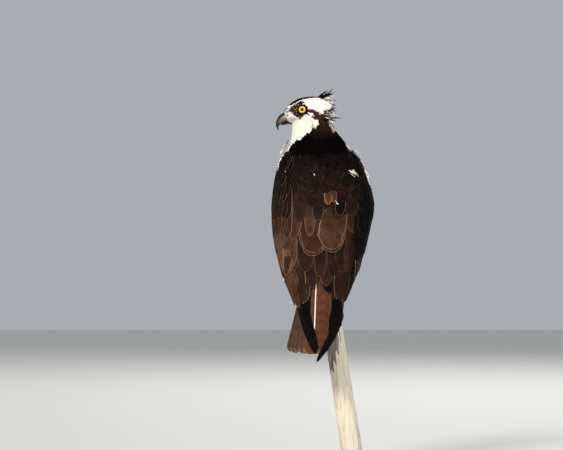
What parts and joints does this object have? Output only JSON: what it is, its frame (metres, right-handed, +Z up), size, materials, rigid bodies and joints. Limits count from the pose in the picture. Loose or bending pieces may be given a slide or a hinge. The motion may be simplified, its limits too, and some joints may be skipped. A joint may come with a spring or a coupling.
{
  "type": "osprey model",
  "caption": "Life-size model of an osprey seen upright on the cut end of a leaning dead branch, head turned to its left, on a round stand.",
  "frame": {"origin": "centre of the base's underside", "axes": "+Z up, +Y the way the breast faces, +X the bird's right; the turned head faces -X"},
  "size_m": [0.25, 0.2674, 0.7573],
  "materials": {
    "body_feathers": "matt contour feathers, dark brown behind and white in front",
    "head_feathers": "matt white feathers with a dark mask",
    "cere": "pale blue-grey bare skin",
    "bill": "smooth black horn",
    "eye": "wet yellow eye with a black pupil",
    "wing_feathers": "dark brown vanes with thin pale edges",
    "flight_feathers": "blackish vanes",
    "tail_feathers": "brown vanes with white shafts",
    "leg_feathers": "short white feathers",
    "foot_skin": "rough grey scales",
    "claw": "smooth black horn",
    "dead_wood": "bleached bare wood with grey grain",
    "steel": "satin",
    "base_wood": "dark satin wood"
  },
  "bodies": {
    "root": {"torso": "body_feathers", "neck": "body_feathers", "head": "head_feathers", "cere": "cere", "bill_upper": "bill", "bill_lower": "bill", "eye_left": "eye", "eye_right": "eye", "wing_left": "wing_feathers", "wing_right": "wing_feathers", "primaries_left": "flight_feathers", "primaries_right": "flight_feathers", "tail": "tail_feathers", "thigh_left": "leg_feathers", "thigh_right": "leg_feathers", "foot_left": "foot_skin", "foot_right": "foot_skin", "claw_left_1": "claw", "claw_left_2": "claw", "claw_left_3": "claw", "claw_left_4": "claw", "claw_right_1": "claw", "claw_right_2": "claw", "claw_right_3": "claw", "claw_right_4": "claw", "perch": "dead_wood", "stand_rod": "steel", "stand_base": "base_wood"}
  },
  "joints": []
}
